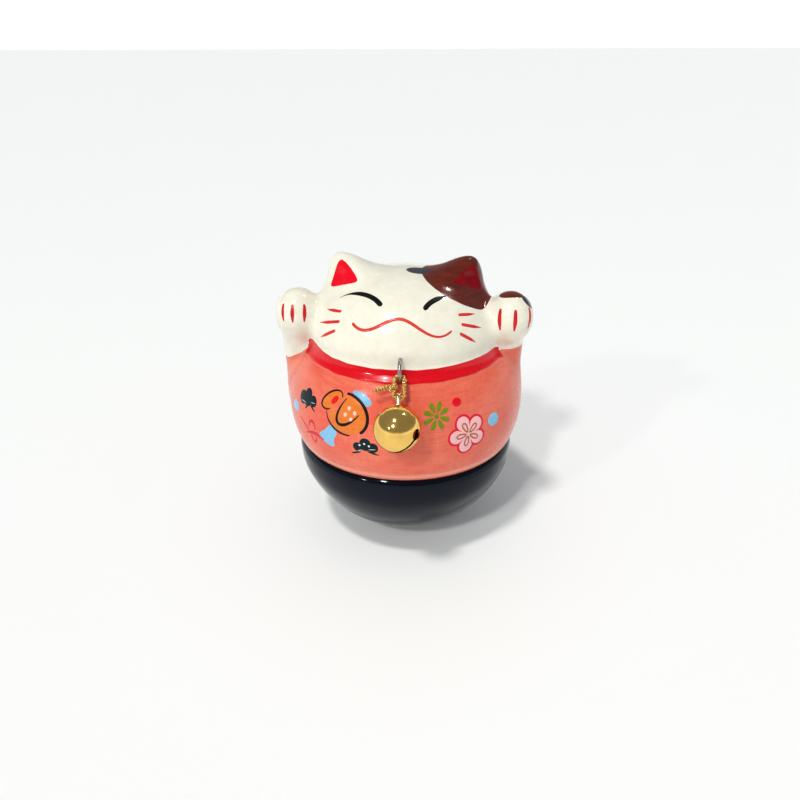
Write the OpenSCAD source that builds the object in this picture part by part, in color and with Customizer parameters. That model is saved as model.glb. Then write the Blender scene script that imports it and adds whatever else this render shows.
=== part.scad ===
// Beckoning cat figurine. A hollow porcelain cat with both paws raised is cemented on a round
// weighted base, so that it rocks and rights itself. A small bell hangs from a wire eye under its chin.
// Millimetres, +Z up. The cat faces -Y. The origin is the middle of the small flat under the base.

/* [Cat body] */
// Largest radius of the round body
body_r = 29.9; // [29:0.1:31]
// Half height of the ellipsoid that the body is cut from
body_half_h = 26.5; // [26:0.1:27.5]
// Height of the body's widest place
body_z = 36.6; // [36:0.1:37.2]
// Thickness of the cast wall
wall = 2.7; // [2.2:0.1:3.2]
// Tube radius of the rounded edge round the open bottom
rim_r = 0.9; // [0.8:0.05:1]

/* [Head] */
// Half width of the head
head_half_w = 23; // [22:0.1:24]
// Half depth of the head, front to back
head_half_d = 20.5; // [20:0.1:21]
// Half height of the head
head_half_h = 14.2; // [13.8:0.1:14.6]
// Height of the head's middle
head_z = 56.6; // [56:0.1:57]
// How far the head leans forward of the body's axis
head_forward = 3.5; // [3:0.1:4]
// Distance of each ear's root from the middle
ear_root_x = 10.8; // [10.4:0.1:11.4]
// Slope of an ear's sides, in degrees
ear_taper = 30; // [26:1:32]
// Distance of each ear's tip from the middle
ear_tip_x = 14.2; // [13.8:0.1:14.6]
// Height of the centre of each ear's rounded tip
ear_tip_z = 70.3; // [69:0.1:71]
// Radius of each ear's rounded tip
ear_tip_r = 3.5; // [3.2:0.1:3.8]

/* [Arms] */
// Height of both raised paws
paw_z = 60.8; // [60:0.1:61.5]
// Distance of each paw from the middle
paw_x = 25.1; // [24.6:0.1:25.6]
// Half width of a paw
paw_half_w = 5.4; // [5.2:0.1:5.6]
// Half depth of a paw, front to back
paw_half_d = 6; // [5.8:0.1:6.2]
// Half height of a paw
paw_half_h = 5.9; // [5.7:0.1:6.1]
// Distance from the middle of the right arm's root, on the cat's left
right_arm_x = 22.4; // [22:0.1:23]
// Distance from the middle of the left arm's root
left_arm_x = 24; // [23:0.1:24.5]
// Radius of an arm at its root
arm_root_r = 6.4; // [6:0.1:6.8]
// Radius of an arm just under the paw
arm_top_r = 4.9; // [4.5:0.1:5.2]

/* [Round base] */
// Radius of the ball that the base rocks on
base_r = 29.1; // [28.6:0.1:29.6]
// Radius of the base's upright rim
base_rim_r = 28; // [27.8:0.05:28.2]
// Radius of the round shoulder at the top of the rim
shoulder_r = 3; // [2.8:0.1:3.2]
// Height of the top of the shoulder
base_h = 27.1; // [27:0.05:27.2]
// Radius of the small moulded flat that it stands on
flat_r = 3; // [2:0.1:4]
// Thickness of the base's wall
base_wall = 3; // [2.5:0.1:3.5]
// Height of the iron weight's top face
weight_top = 15; // [13:0.5:17]

/* [Wire eye and cord] */
// Height of the wire eye's centre
eye_z = 53.7; // [53.5:0.1:53.9]
// Distance of the wire eye's centre in front of the axis
eye_forward = 25; // [24.9:0.1:25.2]
// Distance of the eye, the cord and the bell to the side of the middle
eye_x = 0.3; // [0:0.1:0.5]
// Bend radius of the eye, on the wire's centreline
eye_bend_r = 2.3; // [2.2:0.05:2.4]
// Thickness of the eye's wire
eye_wire_d = 0.86; // [0.8:0.02:0.9]
// Thickness of the gold cord
cord_d = 1; // [0.9:0.02:1.04]
// Angle of the hanging cord from straight down, where the bell meets the belly
hang_deg = 47; // [46.5:0.5:49]

/* [Bell] */
// Outer radius of the bell
bell_r = 5.2; // [5:0.1:5.3]
// Thickness of the bell's sheet
bell_sheet = 0.4; // [0.3:0.05:0.5]
// Distance from the wire eye's centre to the bell's centre
bell_reach = 13.4; // [13.3:0.05:13.6]
// Width of the sound slot across the bottom
slot_w = 0.6; // [0.5:0.1:0.9]
// Radius of the round hole at each end of the slot
slot_end_r = 1.25; // [1:0.05:1.3]
// Radius of the loose ball inside
pellet_r = 1.6; // [1.4:0.1:1.8]

/* [Hidden] */
$fn = 96;
clear = 0.12;              // gap between the loose rings of cord and wire
base_z = sqrt(base_r * base_r - flat_r * flat_r);   // centre of the base's ball
rim_z = base_h + 0.3;                               // centre of the cat's rounded lower edge
rim_x = 27;
shoulder_x = base_rim_r - shoulder_r;               // centre of the shoulder's round
shoulder_z = base_h - shoulder_r;
head_c = [0, -head_forward, head_z];
body_c = [0, 0, body_z];
ear_rise = 5.4;                                     // from the head's middle up to the ear's root
ear_root_back = 1.6;                                // how far the root and the tip stand in front
ear_tip_back = 2.8;                                 // of the body's axis
scoop_half = [6.8, 11, 9];                          // the ellipsoid that hollows an ear's face
scoop_out = 2.5;                                    // its centre, outward of the tip
scoop_forward = 15.5;
scoop_drop = 0.5;
paw_forward = 8;
arm_top_forward = 5;
arm_root_rise = 1;                                  // above the body's widest place
arm_top_drop = 3.2;                                 // below the paw's centre
arm_top_in = 0.9;                                   // how far an arm's top is inward of its paw
left_arm_top_in = 0.3;
eye_c = [eye_x, -eye_forward, eye_z];
eye_r = eye_wire_d / 2;
leg_end_y = -19.9;                                  // where the wire's legs stop inside the head
hole_gap = 0.05;                                    // round each leg in its drilled hole
cord_r = cord_d / 2;
loop_r = eye_r + clear + cord_r + 0.05;             // half the width of the cord's loop
loop_top = eye_bend_r - eye_r - clear - cord_r + loop_r;   // from the eye's centre to the upper bend
shank_r = 0.4;
shank_bend_r = 1.3;
shank_reach = 6.6;                                  // from the bell's centre to the shank's bend
loop_bottom = bell_reach - shank_reach - shank_bend_r + shank_r + clear + cord_r - loop_r;
knot_r = 0.95;
knot_side = 0.35;                                   // the knot's offset from the loop's left side
tail_from = [0.5, 0.3, 0];                          // where the cord's loose end starts and stops,
tail_to = [4.6, -0.15, 0.9];                        // inward of the loop's left side
lip_r = 24.7;
lip_wall = 1.6;
lip_h = 2.3;                                        // how far the base's lip reaches into the cat
slot_turn = -26.5;
slot_end_deg = 69;                                  // the end holes, measured from the bottom
weight_gap = 1.1;                                   // thickness of the plaster under the weight

// an ellipsoid with half sizes r about the point c
module ellipsoid(c, r) {
  translate(c)
    scale([1, r[1] / r[0], r[2] / r[0]])
      sphere(r[0]);
}

// a round bar from a to b that tapers from radius ra to rb
module bar(a, b, ra, rb) {
  v = b - a;
  translate(a)
    rotate([0, acos(v[2] / norm(v)), atan2(v[1], v[0])])
      cylinder(h = norm(v), r1 = ra, r2 = rb);
}

// a tapering bar that runs smoothly into a ball at each end
module limb(a, b, ra, rb) {
  u = (b - a) / norm(b - a);
  lean = (ra - rb) / norm(b - a);
  side = sqrt(1 - lean * lean);
  bar(a + u * ra * lean, b + u * rb * lean, ra * side, rb * side);
  translate(a)
    sphere(ra);
  translate(b)
    sphere(rb);
}

// one ear: a cone that runs smoothly into a ball at the tip, its front face hollowed
module ear(side) {
  root = [side * ear_root_x, -ear_root_back, head_z + ear_rise];
  tip = [side * ear_tip_x, -ear_tip_back, ear_tip_z];
  u = (tip - root) / norm(tip - root);
  end = tip + u * ear_tip_r * sin(ear_taper);
  end_r = ear_tip_r * cos(ear_taper);
  difference() {
    union() {
      bar(root, end, end_r + norm(end - root) * tan(ear_taper), end_r);
      translate(tip)
        sphere(ear_tip_r);
    }
    ellipsoid([side * (ear_tip_x + scoop_out), -scoop_forward, ear_tip_z - scoop_drop], scoop_half);
  }
}

module arm(root_x, top_x) {
  root = [root_x, 0, body_z + arm_root_rise];
  top = [top_x, -arm_top_forward, paw_z - arm_top_drop];
  limb(root, top, arm_root_r, arm_top_r);
}

// the cat's outside, without its rounded lower edge
module cat_outside() {
  ellipsoid(body_c, [body_r, body_r, body_half_h]);
  ellipsoid(head_c, [head_half_w, head_half_d, head_half_h]);
  arm(right_arm_x, paw_x - arm_top_in);
  arm(-left_arm_x, left_arm_top_in - paw_x);
  for (side = [-1, 1]) {
    ear(side);
    ellipsoid([side * paw_x, -paw_forward, paw_z], [paw_half_w, paw_half_d, paw_half_h]);
  }
}

// the space inside the cast wall
module cat_inside() {
  ellipsoid(body_c, [body_r - wall, body_r - wall, body_half_h - wall]);
  ellipsoid(head_c, [head_half_w - wall, head_half_d - wall, head_half_h - wall]);
}

// the two straight legs of the wire eye, of any radius and length
module eye_legs(r, from_y, to_y) {
  for (side = [-1, 1])
    translate([eye_x, from_y, eye_z + side * eye_bend_r])
      rotate([-90, 0, 0])
        cylinder(h = to_y - from_y, r = r, $fn = 32);
}

module rim_bead() {
  rotate_extrude()
    translate([rim_x, rim_z])
      circle(rim_r, $fn = 48);
}

module cat_casting() {
  color("ivory")
    difference() {
      union() {
        difference() {
          cat_outside();
          cat_inside();
          translate([0, 0, rim_z - 50])
            cylinder(h = 50, r = 50);
        }
        rim_bead();
      }
      eye_legs(eye_r + hole_gap, -eye_forward - 2, leg_end_y + 3);
    }
}

// the base's outside: a ball inside a drum whose top edge is rounded
module base_outside() {
  intersection() {
    translate([0, 0, base_z])
      sphere(base_r);
    union() {
      cylinder(h = shoulder_z, r = base_rim_r);
      cylinder(h = base_h, r = shoulder_x);
      rotate_extrude()
        translate([shoulder_x, shoulder_z])
          circle(shoulder_r, $fn = 48);
    }
  }
}

// the weighted bowl, with an upstanding lip that centres the cat
module base_bowl() {
  color([0.04, 0.05, 0.09])
    difference() {
      union() {
        base_outside();
        translate([0, 0, shoulder_z])
          cylinder(h = shoulder_r + lip_h, r = lip_r);
      }
      intersection() {
        translate([0, 0, base_z])
          sphere(base_r - base_wall);
        cylinder(h = shoulder_z, r = base_r);
      }
      translate([0, 0, shoulder_z - 0.1])
        cylinder(h = 10, r = lip_r - lip_wall);
    }
}

// fills the wedge between the shoulder and the cat's rounded edge
module seam_cement() {
  color("gainsboro")
    difference() {
      translate([0, 0, base_h - 1])
        cylinder(h = 1.3, r = rim_x);
      translate([0, 0, base_h - 2])
        cylinder(h = 4, r = lip_r + 0.4);
      base_outside();
      rim_bead();
    }
}

module iron_weight() {
  color("dimgray")
    intersection() {
      translate([0, 0, base_z])
        sphere(base_r - base_wall - weight_gap);
      cylinder(h = weight_top, r = base_r);
    }
}

module plaster_bed() {
  color("white")
    difference() {
      intersection() {
        translate([0, 0, base_z])
          sphere(base_r - base_wall);
        cylinder(h = weight_top - 1.5, r = base_r);
      }
      translate([0, 0, base_z])
        sphere(base_r - base_wall - weight_gap);
    }
}

module wire_eye() {
  color("gray") {
    translate(eye_c)
      rotate([0, -90, 0])
        rotate_extrude(angle = -180)
          translate([eye_bend_r, 0])
            circle(eye_r, $fn = 32);
    eye_legs(eye_r, -eye_forward, leg_end_y);
  }
}

module eye_cement() {
  color("white")
    difference() {
      intersection() {
        cat_inside();
        translate([eye_x, leg_end_y + 0.7, eye_z])
          rotate([90, 0, 0])
            cylinder(h = 5, r = eye_bend_r + 1.3);
      }
      eye_legs(eye_r, -eye_forward, leg_end_y);
    }
}

// places things made round the cord: local -Z runs from the eye's centre towards the bell
module along_cord(reach) {
  translate(eye_c)
    rotate([-hang_deg, 0, 0])
      translate([0, 0, -reach])
        children();
}

module half_ring(bend_r, bar_r, turn) {
  rotate([90, turn, 0])
    rotate_extrude(angle = 180)
      translate([bend_r, 0])
        circle(bar_r, $fn = 32);
}

// the cord: a loop through the eye and the bell's shank, its knot and one loose end
module gold_cord() {
  knot_at = (loop_top + loop_bottom) / 2 + 0.2;
  color("goldenrod") {
    along_cord(loop_top)
      half_ring(loop_r, cord_r, 0);
    along_cord(loop_bottom)
      half_ring(loop_r, cord_r, 180);
    for (side = [-1, 1])
      along_cord(loop_bottom)
        translate([side * loop_r, 0, 0])
          cylinder(h = loop_bottom - loop_top, r = cord_r, $fn = 32);
    along_cord(knot_at) {
      translate([-loop_r - knot_side, -knot_side, 0])
        sphere(knot_r);
      limb([-loop_r, 0, 0] - tail_from, [-loop_r, 0, 0] - tail_to, cord_r, cord_r);
    }
  }
}

module bell_shell() {
  difference() {
    sphere(bell_r);
    sphere(bell_r - bell_sheet);
  }
}

// the upper half, brazed edge to edge on the cup
module bell_crown() {
  color("gold")
    along_cord(bell_reach)
      difference() {
        bell_shell();
        translate([0, 0, -10])
          cylinder(h = 10, r = 10);
      }
}

module bell_cup() {
  color("gold")
    along_cord(bell_reach)
      rotate([0, 0, slot_turn])
        difference() {
          bell_shell();
          cylinder(h = 10, r = 10);
          translate([-bell_r, -slot_w / 2, -bell_r - 1])
            cube([2 * bell_r, slot_w, bell_r + 1 - bell_r * cos(slot_end_deg)]);
          for (side = [-1, 1])
            rotate([0, 180 + side * slot_end_deg, 0])
              cylinder(h = 10, r = slot_end_r, $fn = 48);
        }
}

// a wire loop whose feet stand on the crown
module bell_shank() {
  foot = sqrt(pow(bell_r - bell_sheet / 2, 2) - pow(shank_bend_r, 2));
  color("gold")
    along_cord(bell_reach)
      rotate([0, 0, 90])
        difference() {
          union() {
            translate([0, 0, shank_reach])
              half_ring(shank_bend_r, shank_r, 0);
            for (side = [-1, 1])
              translate([side * shank_bend_r, 0, foot - 0.5])
                cylinder(h = shank_reach - foot + 0.5, r = shank_r, $fn = 32);
          }
          sphere(bell_r);
        }
}

module bell_pellet() {
  color("silver")
    translate([0, 0, -(bell_r - bell_sheet - pellet_r - 0.08)])
      along_cord(bell_reach)
        sphere(pellet_r);
}

cat_casting();
base_bowl();
seam_cement();
iron_weight();
plaster_bed();
wire_eye();
eye_cement();
gold_cord();
bell_crown();
bell_cup();
bell_shank();
bell_pellet();
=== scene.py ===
# Beckoning cat on a weighted rocking bowl: glazed casting, brushed enamel, and a bell on a gold cord.
# Shapes are worked out in millimetres and written to the meshes in metres.
import math
import bpy
import numpy as np
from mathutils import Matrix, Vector


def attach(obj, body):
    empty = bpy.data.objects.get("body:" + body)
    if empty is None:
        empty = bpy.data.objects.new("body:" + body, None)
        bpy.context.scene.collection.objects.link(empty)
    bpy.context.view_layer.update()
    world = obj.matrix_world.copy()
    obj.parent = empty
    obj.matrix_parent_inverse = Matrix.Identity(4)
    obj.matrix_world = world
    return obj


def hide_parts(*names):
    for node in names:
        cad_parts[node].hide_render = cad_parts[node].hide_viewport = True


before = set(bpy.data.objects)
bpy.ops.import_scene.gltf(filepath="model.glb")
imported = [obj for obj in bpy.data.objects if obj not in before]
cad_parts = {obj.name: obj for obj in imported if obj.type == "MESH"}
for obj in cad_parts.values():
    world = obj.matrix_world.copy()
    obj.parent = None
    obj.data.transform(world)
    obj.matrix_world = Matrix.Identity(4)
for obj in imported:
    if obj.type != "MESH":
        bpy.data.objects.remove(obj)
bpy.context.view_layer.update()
mm = 0.001


# the cat's skin, as a field that is zero on the surface and positive outside
casting = {
    "body": ((0, 0, 36.6), (29.9, 29.9, 26.5)),
    "head": ((0, -3.5, 56.6), (23, 20.5, 14.2)),
    "wall": 2.7,
    "armRoot": (22.4, 24.0),      # right arm, left arm: distance from the middle
    "armTop": (24.2, 25.4),
    "armRadius": (6.4, 4.9),
    "paw": ((25.1, -8, 60.8), (5.4, 6, 5.9)),
    "earSides": [((16.3, -4.6, 71.7), (0.52, -0.77, 0.37)), ((18.5, -3.0, 70.0), (0.98, 0.05, 0.17)),
                 ((14.6, -3.0, 74.3), (-0.43, 0.0, 0.90)), ((14.0, 0.8, 71.0), (-0.05, 0.90, 0.42))],
    "earBounds": ((13.2, -2.5, 62.5), (10.4, 8.6, 12.4)),
    "earScoop": ((17.4, -9.6, 70.4), (4.4, 4.4, 5.0)),
    "rim": (27.0, 27.4, 0.9),     # radius, height and tube radius of the rounded lower edge
    "step": 0.5,                  # size of the cells that the skin is cut into
}


def ellipsoid(p, centre, half):
    # about the distance to an ellipsoid: k0 (k0 - 1) / k1, k0 the scaled radius and k1 its slope
    q = p - centre
    k0 = np.sqrt(((q / half) ** 2).sum(-1))
    k1 = np.sqrt(((q / np.square(half)) ** 2).sum(-1)) + 1e-9
    return k0 * (k0 - 1) / k1


def capsule(p, a, b, ra, rb):
    # distance to a segment from a to b, less a radius that goes from ra to rb along it
    a, b = np.array(a, float), np.array(b, float)
    t = np.clip(((p - a) @ (b - a)) / ((b - a) @ (b - a)), 0, 1)
    return np.sqrt(((p - a - t[..., None] * (b - a)) ** 2).sum(-1)) - ra - (rb - ra) * t


def melt(a, b, k):
    # the lesser of two fields, with a fillet of about k where they meet
    h = np.clip(0.5 + 0.5 * (b - a) / k, 0, 1)
    return b + (a - b) * h - k * h * (1 - h)


def carve(a, b, k):
    return -melt(-a, -b, k)       # the greater of two fields, with the same fillet


def skin(p):
    # body and head, then both arms, paws and ears, each melted into what is there
    right = np.abs(p[..., :1])
    q = np.concatenate([right, p[..., 1:]], -1)
    rootR, rootL = casting["armRoot"]
    topR, topL = casting["armTop"]
    d = melt(ellipsoid(p, *casting["body"]), ellipsoid(p, *casting["head"]), 2.0)
    arms = np.minimum(capsule(p, (-rootL, 0, 37.6), (-topL, -5, 57.6), *casting["armRadius"]),
                      capsule(p, (rootR, 0, 37.6), (topR, -5, 57.6), *casting["armRadius"]))
    d = melt(d, arms, 2.4)
    d = melt(d, ellipsoid(q, *casting["paw"]), 3.4)
    # an ear is a wedge: a flat face turned outwards, an upright outer side, a long inner slope and a back
    q = q - np.where(p[..., :1] < 0, 0.5, 0.0) * (0.0, 0.0, 1.0)     # the left ear stands a little higher
    ear = ellipsoid(q, *casting["earBounds"])
    for spot, way in casting["earSides"]:
        ear = carve(ear, (q - spot) @ (np.array(way) / np.linalg.norm(way)), 2.8)
    ear = carve(ear, -ellipsoid(q, *casting["earScoop"]), 0.8)
    return melt(d, ear, 2.6)


def shell(p):
    # the skin less the space inside the wall, cut level at the rim and given its rounded edge
    wall = casting["wall"]
    hollow = melt(ellipsoid(p, casting["body"][0], np.array(casting["body"][1]) - wall),
                  ellipsoid(p, casting["head"][0], np.array(casting["head"][1]) - wall), 2.0)
    radius, height, tube = casting["rim"]
    bead = np.hypot(np.hypot(p[..., 0], p[..., 1]) - radius, p[..., 2] - height) - tube
    body = carve(carve(skin(p), -hollow, 0.6), height - p[..., 2], 0.2)
    return np.minimum(body, bead)


def slope(field, p, h=0.02):
    # the field's gradient by central differences, one axis at a time
    out = np.empty_like(p)
    for axis in range(3):
        d = np.zeros(3)
        d[axis] = h
        out[:, axis] = (field(p + d) - field(p - d)) / (2 * h)
    return out


def settle(field, p, turns=4):
    # moves points along the gradient until the field is zero there
    for turn in range(turns):
        g = slope(field, p)
        p = p - (field(p) / np.maximum((g * g).sum(-1), 0.05))[:, None] * g
    return p


def normalsOf(field, p):
    g = slope(field, p)
    return g / np.linalg.norm(g, axis=-1, keepdims=True)


def netOver(field, low, high, step):
    # one point in each cell that the surface passes through, one quad across each grid edge that changes
    # side
    axes = [np.arange(a, b, step) for a, b in zip(low, high)]
    inside = np.concatenate([field(np.stack(np.meshgrid(x, axes[1], axes[2], indexing="ij"), -1)) < 0
                             for x in np.array_split(axes[0], 12)])
    corners = sum(inside[i:i - 1 or None, j:j - 1 or None, k:k - 1 or None].astype(np.int8)
                  for i in (0, 1) for j in (0, 1) for k in (0, 1))
    mixed = (corners > 0) & (corners < 8)
    number = np.full(mixed.shape, -1)
    number[mixed] = np.arange(mixed.sum())
    points = np.stack([axes[n][i] + step / 2 for n, i in enumerate(np.nonzero(mixed))], -1)
    quads = []
    for axis in range(3):
        u, v = (axis + 1) % 3, (axis + 2) % 3
        a = np.moveaxis(inside, axis, 0)
        ends = a[:-1] != a[1:]
        cell = np.stack(np.nonzero(ends), -1)
        first = a[:-1][ends]                       # True where the lower end is inside
        order = [axis] + [n for n in range(3) if n != axis]
        index = np.empty_like(cell)
        index[:, order] = cell
        keep = (index[:, u] > 0) & (index[:, v] > 0) & (index[:, u] < mixed.shape[u]) & (index[:,
            v] < mixed.shape[v])
        index, first = index[keep], first[keep]
        ring = []
        for du, dv in ((1, 1), (0, 1), (0, 0), (1, 0)):
            corner = index.copy()
            corner[:, u] -= du
            corner[:, v] -= dv
            ring.append(number[tuple(corner.T)])
        ring = np.stack(ring, -1)
        ring[~first] = ring[~first][:, ::-1]
        quads.append(ring)
    return points, np.concatenate(quads)


def relax(field, points, quads, turns=3):
    # evens out the points: each goes to the middle of its neighbours, then back to the surface
    a = np.concatenate([quads[:, n] for n in range(4)])
    b = np.concatenate([quads[:, (n + 1) % 4] for n in range(4)])
    count = np.bincount(a, minlength=len(points)) + np.bincount(b, minlength=len(points))
    for turn in range(turns):
        total = np.zeros_like(points)
        for axis in range(3):
            total[:, axis] = np.bincount(a, points[b, axis], len(points)) + np.bincount(b, points[a, axis],
                len(points))
        points = settle(field, 0.4 * points + 0.6 * total / np.maximum(count, 1)[:, None], 2)
    return points


# making pieces
def addPiece(name, points, faces, material, body="figure", slot="", smooth=True):
    mesh = bpy.data.meshes.new(name)
    mesh.from_pydata((np.asarray(points) * mm).tolist(), [], [list(map(int, f)) for f in faces])
    mesh.polygons.foreach_set("use_smooth", np.full(len(mesh.polygons), smooth))
    mesh.materials.append(material)
    mesh.update()
    piece = bpy.data.objects.new(name, mesh)
    bpy.context.scene.collection.objects.link(piece)
    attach(piece, body)
    return piece


def gridFaces(rows, cols, around=True):
    # quads of a rows by cols grid whose columns close on themselves when around is set
    i, j = np.meshgrid(np.arange(rows - 1), np.arange(cols if around else cols - 1), indexing="ij")
    k = (j + 1) % cols
    return np.stack([i * cols + j, i * cols + k, (i + 1) * cols + k, (i + 1) * cols + j], -1).reshape(-1, 4)


def together(parts):
    # several (points, faces) pairs as one
    points, faces, start = [], [], 0
    for p, f in parts:
        points.append(p)
        faces += [[int(n) + start for n in face] for face in f]
        start += len(p)
    return np.concatenate(points), faces


def smoothPath(points, count, closed=False):
    # a Catmull-Rom curve through the points, stepped evenly along its length
    p = np.array(points, float)
    if closed:
        p = np.concatenate([p[-1:], p, p[:2]])
    else:
        p = np.concatenate([2 * p[:1] - p[1:2], p, 2 * p[-1:] - p[-2:-1]])
    t = np.linspace(0, 1, 12, endpoint=False)[:, None]
    a, b, c, d = (p[n:len(p) - 3 + n, None] for n in range(4))
    fine = (b + 0.5 * t * (c - a + t * (2 * a - 5 * b + 4 * c - d + t * (3 * (b - c) + d - a)))).reshape(-1,
        p.shape[1])
    if not closed:
        fine = np.concatenate([fine, p[-2:-1]])
    else:
        fine = np.concatenate([fine, fine[:1]])
    run = np.concatenate([[0], np.cumsum(np.linalg.norm(np.diff(fine, axis=0), axis=1))])
    at = np.linspace(0, run[-1], count, endpoint=not closed)
    return np.stack([np.interp(at, run, fine[:, n]) for n in range(p.shape[1])], -1)


def trace(start, way):
    # walks along each ray towards its start from 46 mm out, until it meets the skin
    t = np.full(len(way), 46.0)
    for turn in range(70):
        t = t - 0.8 * skin(start + t[:, None] * way)
    return start + t[:, None] * way


def onBelly(points):
    # (degrees round from the front, height): where a level ray from the axis leaves the skin
    turn, height = np.radians(points[:, 0]), points[:, 1]
    start = np.stack([0 * turn, 0 * turn, height], -1)
    return trace(start, np.stack([np.sin(turn), -np.cos(turn), 0 * turn], -1))


def rayFrom(centre):
    # (degrees round from the front, degrees up): where a ray from the centre leaves the skin
    def chart(points):
        turn, rise = np.radians(points[:, 0]), np.radians(points[:, 1])
        way = np.stack([np.cos(rise) * np.sin(turn), -np.cos(rise) * np.cos(turn), np.sin(rise)], -1)
        return trace(np.array(centre, float), way)
    return chart


onFace = rayFrom(casting["head"][0])
onRightPaw = rayFrom(casting["paw"][0])
onLeftPaw = rayFrom((-casting["paw"][0][0],) + casting["paw"][0][1:])


def onSpot(points):
    return settle(skin, points)


degree = 0.515                    # millimetres of belly to a degree


# enamel laid on the skin
def stroke(chart, points, width, ends=(0.35, 0.35), closed=False, lift=0.09):
    # a bead carried along a curve: across it the height is a low arch, and its foot is sunk in the skin;
    # the half width swells from ends[0] to full and falls to ends[1], and both tips are round
    rough = smoothPath(points, 60, closed)
    length = np.linalg.norm(np.diff(chart(rough), axis=0), axis=1).sum()
    count = int(np.clip(length / 0.22, 16, 260))
    path = chart(smoothPath(points, count, closed))
    normal = normalsOf(skin, path)
    along = np.roll(path, -1, 0) - np.roll(path, 1, 0) if closed else np.gradient(path, axis=0)
    along /= np.linalg.norm(along, axis=1, keepdims=True)
    side = np.cross(normal, along)
    s = np.linspace(0, 1, count)
    ease = lambda x: x * x * (3 - 2 * x)
    half = np.full(count, width / 2)
    if not closed:
        half *= (ends[0] + (1 - ends[0]) * ease(np.clip(s / 0.45, 0, 1))) * \
                (ends[1] + (1 - ends[1]) * ease(np.clip((1 - s) / 0.45, 0, 1)))
        tip = np.clip(np.minimum(s, 1 - s) * length / np.maximum(half, 0.05), 0.02, 1)
        half *= np.sqrt(1 - (1 - tip) ** 2)
    turn = np.linspace(0, 2 * np.pi, 12, endpoint=False)
    across = half[:, None] * np.cos(turn)
    spread = (path[:, None] + across[..., None] * side[:, None]).reshape(-1, 3)
    spread = settle(skin, spread, 3)
    high = np.where(np.sin(turn) > 0, lift * np.sin(turn) - 0.02, 0.16 * np.sin(turn) - 0.02)
    shrink = np.minimum(half / (width / 2) * 2, 1)[:, None] * high
    spread += shrink.reshape(-1, 1) * normalsOf(skin, spread)
    if closed:
        faces = gridFaces(count + 1, 12)
        faces = np.where(faces >= count * 12, faces - count * 12, faces)
        return spread, list(faces)
    last = (count - 1) * 12
    return spread, list(gridFaces(count, 12)) + [np.arange(12)[::-1], last + np.arange(12)]


def patch(chart, outline, lift=0.08, rings=7, count=0, middle=None):
    # rings drawn in from an outline to its middle, low-domed, with the edge turned down into the skin
    outline = np.array(outline, float)
    edge = smoothPath(outline, count or max(36, 6 * len(outline)), True)
    middle = edge.mean(0) if middle is None else np.array(middle, float)
    size = len(edge)
    scale = np.linspace(0, 1, rings + 1)[1:][::-1]
    top = [chart(middle + k * (edge - middle)) for k in scale]
    core = chart(middle[None])
    points = np.concatenate(top + [core])
    height = np.concatenate([np.full(size,
                                     lift * min(1,
                                                4 * (1 - k)) ** 0.5 - 0.02) for k in scale] + [[lift - 0.02]])
    normal = normalsOf(skin, points)
    dome = points + height[:, None] * normal
    foot = np.concatenate([points[:size] - 0.2 * normal[:size], core - 0.2 * normal[-1:]])
    n = len(dome)
    around = np.arange(size)
    following = (around + 1) % size
    faces = list(gridFaces(rings, size))
    faces += list(np.stack([(rings - 1) * size + around, (rings - 1) * size + following,
                            np.full(size, n - 1)], -1))
    faces += list(np.stack([around, n + around, n + following, following], -1))
    faces += list(np.stack([n + following, n + around, np.full(size, n + size)], -1))
    return np.concatenate([dome, foot]), faces


def arc(middle, halfWide, halfHigh, lean, start, stop, unit=degree, count=15):
    # part of an ellipse turned by lean: angles run from its right end over its top; unit turns degrees to
    # mm
    t = np.radians(np.linspace(start, stop, count))
    x, y = halfWide * np.cos(t), halfHigh * np.sin(t)
    c, s = math.cos(math.radians(lean)), math.sin(math.radians(lean))
    return np.stack([middle[0] + (c * x - s * y) / unit, middle[1] + s * x + c * y], -1)


def oval(middle, halfWide, halfHigh, lean=0, count=28):
    return arc(middle, halfWide, halfHigh, lean, 0, 360 - 360 / count, count=count)


def petal(middle, reach, length, wide, lean):
    # a drop whose blunt end is outward, at a distance reach from the motif's middle
    t = np.linspace(0, 2 * np.pi, 28, endpoint=False)
    x = wide / 2 * np.sin(t) * (0.72 + 0.28 * -np.cos(t))
    y = reach - length / 2 * np.cos(t)
    c, s = math.cos(math.radians(lean)), math.sin(math.radians(lean))
    return np.stack([middle[0] + (c * x + s * y) / degree, middle[1] - s * x + c * y], -1)


def ringOf(count, reach, lean):
    # places evenly round a middle, as (right, up) in millimetres
    t = np.radians(np.arange(count) * 360 / count + lean)
    return np.stack([reach * np.sin(t), reach * np.cos(t)], -1)


def lobes(middle, discs, extra=0.0, core=1.0, count=120):
    # how far a ray from the middle reaches through discs of (right, up, radius), each widened by extra
    t = np.linspace(0, 2 * np.pi, count, endpoint=False)[:, None]
    x, y, radius = np.array(discs, float).T
    radius = radius + extra
    along, off = x * np.sin(t) + y * np.cos(t), x * np.cos(t) - y * np.sin(t)
    reach = np.where(np.abs(off) < radius, along + np.sqrt(np.maximum(radius * radius - off * off, 0)),
                     0).max(1)
    reach = np.maximum(reach, core + extra)[:, None]
    return np.concatenate([middle[0] + reach * np.sin(t) / degree, middle[1] + reach * np.cos(t)], 1)


def bitten(outline, middle, bite, gap):
    # the outline drawn in towards its middle wherever it would come within a gap of a leaning oval
    spot, wide, high, lean = bite
    c, s = math.cos(math.radians(lean)), math.sin(math.radians(lean))
    share = np.linspace(1, 0.25, 60)[:, None, None]
    tries = np.array(middle) + share * (outline - np.array(middle))
    x, y = (tries[..., 0] - spot[0]) * degree, tries[..., 1] - spot[1]
    inside = ((c * x + s * y) / (wide + gap)) ** 2 + ((c * y - s * x) / (high + gap)) ** 2 < 1
    return tries[inside.argmin(0), np.arange(len(outline))]


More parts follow.
